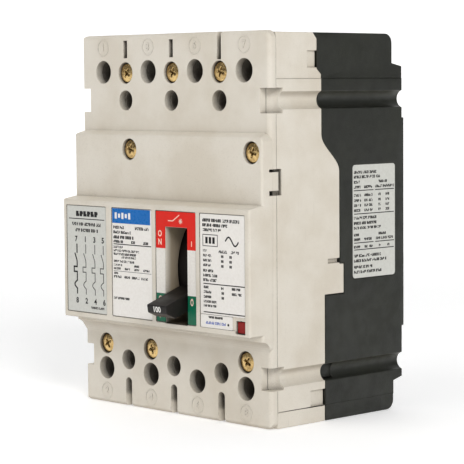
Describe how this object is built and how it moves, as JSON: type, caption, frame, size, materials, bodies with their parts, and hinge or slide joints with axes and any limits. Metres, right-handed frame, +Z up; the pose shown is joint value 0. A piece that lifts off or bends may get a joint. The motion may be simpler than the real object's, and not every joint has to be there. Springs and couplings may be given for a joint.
{
  "type": "molded case circuit breaker",
  "caption": "Multi-pole molded case circuit breaker with box lug terminals, stepped front cover, toggle handle and push-to-trip button.",
  "frame": {"origin": "centre of the rear mounting face, at half the height and half the width", "axes": "+Z up towards the line terminals, +X right seen from the front, the handle faces -Y"},
  "size_m": [0.1016, 0.0899, 0.1396],
  "materials": {
    "cream_moulding": "matte moulded thermoset",
    "dark_moulding": "matte moulded thermoset",
    "handle_plastic": "satin",
    "red_plastic": "satin",
    "white_label": "printed",
    "grey_label": "printed",
    "colour_label": "printed",
    "zinc_screw": "yellow zinc plate",
    "lug_metal": "tin plated",
    "screw_steel": "plain",
    "spring_steel": "plain",
    "copper": "plain copper",
    "contact_silver": "satin",
    "plate_steel": "plain",
    "fibre": "matte",
    "insulator": "matte",
    "bimetal": "satin"
  },
  "bodies": {
    "case": {"rear_base": "dark_moulding", "mid_case": "cream_moulding", "front_cover": "cream_moulding", "trip_button_spring": "spring_steel", "schematic_label": "grey_label", "rating_label": "white_label", "handle_plate": "colour_label", "data_label": "white_label", "trip_sticker": "white_label", "side_label": "grey_label", "top_cover_screws": "zinc_screw", "middle_cover_screws": "zinc_screw", "bottom_cover_screws": "zinc_screw", "case_screws": "zinc_screw", "line_lugs": "lug_metal", "load_lugs": "lug_metal", "line_conductors": "copper", "fixed_contacts": "contact_silver", "arc_plates": "plate_steel", "arc_chute_walls": "fibre", "braids": "copper", "load_conductors": "copper", "bimetals": "bimetal", "calibration_screws": "screw_steel", "magnet_yokes": "plate_steel", "armature_pins": "screw_steel", "side_plates": "plate_steel", "yoke_pivots": "screw_steel", "cradle_pin": "screw_steel", "spacer_pins": "screw_steel"},
    "handle_body": {"handle": "handle_plastic", "handle_yoke": "plate_steel", "spring_anchor_pin": "screw_steel", "main_springs": "spring_steel"},
    "crossbar_body": {"crossbar": "insulator", "contact_arms": "copper", "moving_contacts": "contact_silver", "crank_pin": "screw_steel"},
    "lower_link_body": {"lower_links": "plate_steel", "toggle_pin": "screw_steel"},
    "upper_link_body": {"upper_links": "plate_steel"},
    "cradle_body": {"cradle": "plate_steel", "cradle_link_pin": "screw_steel"},
    "trip_bar_body": {"trip_bar": "insulator"},
    "trip_button_body": {"trip_button": "red_plastic"},
    "armature_1_body": {"armature_1": "plate_steel"},
    "armature_2_body": {"armature_2": "plate_steel"},
    "armature_3_body": {"armature_3": "plate_steel"},
    "armature_4_body": {"armature_4": "plate_steel"},
    "line_screw_1_body": {"line_screw_1": "screw_steel"},
    "line_screw_2_body": {"line_screw_2": "screw_steel"},
    "line_screw_3_body": {"line_screw_3": "screw_steel"},
    "line_screw_4_body": {"line_screw_4": "screw_steel"},
    "load_screw_1_body": {"load_screw_1": "screw_steel"},
    "load_screw_2_body": {"load_screw_2": "screw_steel"},
    "load_screw_3_body": {"load_screw_3": "screw_steel"},
    "load_screw_4_body": {"load_screw_4": "screw_steel"}
  },
  "joints": [
    {"name": "handle_swing", "type": "hinge", "parent": "case", "child": "handle_body", "pos_m": [0.013, -0.0475, -0.0155], "axis": [-1, 0, 0], "range_deg": [-5, 38.2], "deforming": ["main_springs"]},
    {"name": "crossbar_turn", "type": "hinge", "parent": "case", "child": "crossbar_body", "pos_m": [0, -0.022, -0.004], "axis": [-1, 0, 0], "range_deg": [-4.76, 36.05], "deforming": ["braids"]},
    {"name": "lower_link_turn", "type": "hinge", "parent": "crossbar_body", "child": "lower_link_body", "pos_m": [0.0127, -0.0285, 0.00726], "axis": [-1, 0, 0], "range_deg": [-1.74, 12.98]},
    {"name": "upper_link_turn", "type": "hinge", "parent": "lower_link_body", "child": "upper_link_body", "pos_m": [0.0127, -0.03532, -0.00831], "axis": [-1, 0, 0], "range_deg": [-96.18, 12.63]},
    {"name": "trip_button_push", "type": "slide", "parent": "case", "child": "trip_button_body", "axis": [0, 1, 0], "range_m": [0, 0.0018], "stiffness_N_per_m": 150, "springref_m": -0.002, "deforming": ["trip_button_spring"]},
    {"name": "trip_bar_turn", "type": "hinge", "parent": "case", "child": "trip_bar_body", "pos_m": [0, -0.042, -0.044], "axis": [-1, 0, 0], "range_deg": [0, 9.5]},
    {"name": "cradle_release", "type": "hinge", "parent": "case", "child": "cradle_body", "pos_m": [0.0127, -0.056, 0.002], "axis": [1, 0, 0], "range_deg": [0, 3.2]},
    {"name": "armature_1_pull", "type": "hinge", "parent": "case", "child": "armature_1_body", "pos_m": [-0.0381, -0.0125, -0.0315], "axis": [1, 0, 0], "range_deg": [0, 7], "stiffness_Nm_per_rad": 0.02, "springref_deg": -5.73},
    {"name": "armature_2_pull", "type": "hinge", "parent": "case", "child": "armature_2_body", "pos_m": [-0.0127, -0.0125, -0.0315], "axis": [1, 0, 0], "range_deg": [0, 7], "stiffness_Nm_per_rad": 0.02, "springref_deg": -5.73},
    {"name": "armature_3_pull", "type": "hinge", "parent": "case", "child": "armature_3_body", "pos_m": [0.0127, -0.0125, -0.0315], "axis": [1, 0, 0], "range_deg": [0, 7], "stiffness_Nm_per_rad": 0.02, "springref_deg": -5.73},
    {"name": "armature_4_pull", "type": "hinge", "parent": "case", "child": "armature_4_body", "pos_m": [0.0381, -0.0125, -0.0315], "axis": [1, 0, 0], "range_deg": [0, 7], "stiffness_Nm_per_rad": 0.02, "springref_deg": -5.73},
    {"name": "line_screw_1_tighten", "type": "slide", "parent": "case", "child": "line_screw_1_body", "axis": [0, 1, 0], "range_m": [0, 0.008]},
    {"name": "line_screw_2_tighten", "type": "slide", "parent": "case", "child": "line_screw_2_body", "axis": [0, 1, 0], "range_m": [0, 0.008]},
    {"name": "line_screw_3_tighten", "type": "slide", "parent": "case", "child": "line_screw_3_body", "axis": [0, 1, 0], "range_m": [0, 0.008]},
    {"name": "line_screw_4_tighten", "type": "slide", "parent": "case", "child": "line_screw_4_body", "axis": [0, 1, 0], "range_m": [0, 0.008]},
    {"name": "load_screw_1_tighten", "type": "slide", "parent": "case", "child": "load_screw_1_body", "axis": [0, 1, 0], "range_m": [0, 0.008]},
    {"name": "load_screw_2_tighten", "type": "slide", "parent": "case", "child": "load_screw_2_body", "axis": [0, 1, 0], "range_m": [0, 0.008]},
    {"name": "load_screw_3_tighten", "type": "slide", "parent": "case", "child": "load_screw_3_body", "axis": [0, 1, 0], "range_m": [0, 0.008]},
    {"name": "load_screw_4_tighten", "type": "slide", "parent": "case", "child": "load_screw_4_body", "axis": [0, 1, 0], "range_m": [0, 0.008]}
  ],
  "couplings": [
    {"joint": "crossbar_turn", "follows": "handle_swing", "ratio": 0.9424},
    {"joint": "lower_link_turn", "follows": "handle_swing", "ratio": 0.3385},
    {"joint": "upper_link_turn", "follows": "handle_swing", "ratio": -2.5166},
    {"joint": "trip_bar_turn", "follows": "trip_button_push", "rad_per_m": 91.145},
    {"joint": "cradle_release", "follows": "trip_button_push", "rad_per_m": 30.058}
  ]
}
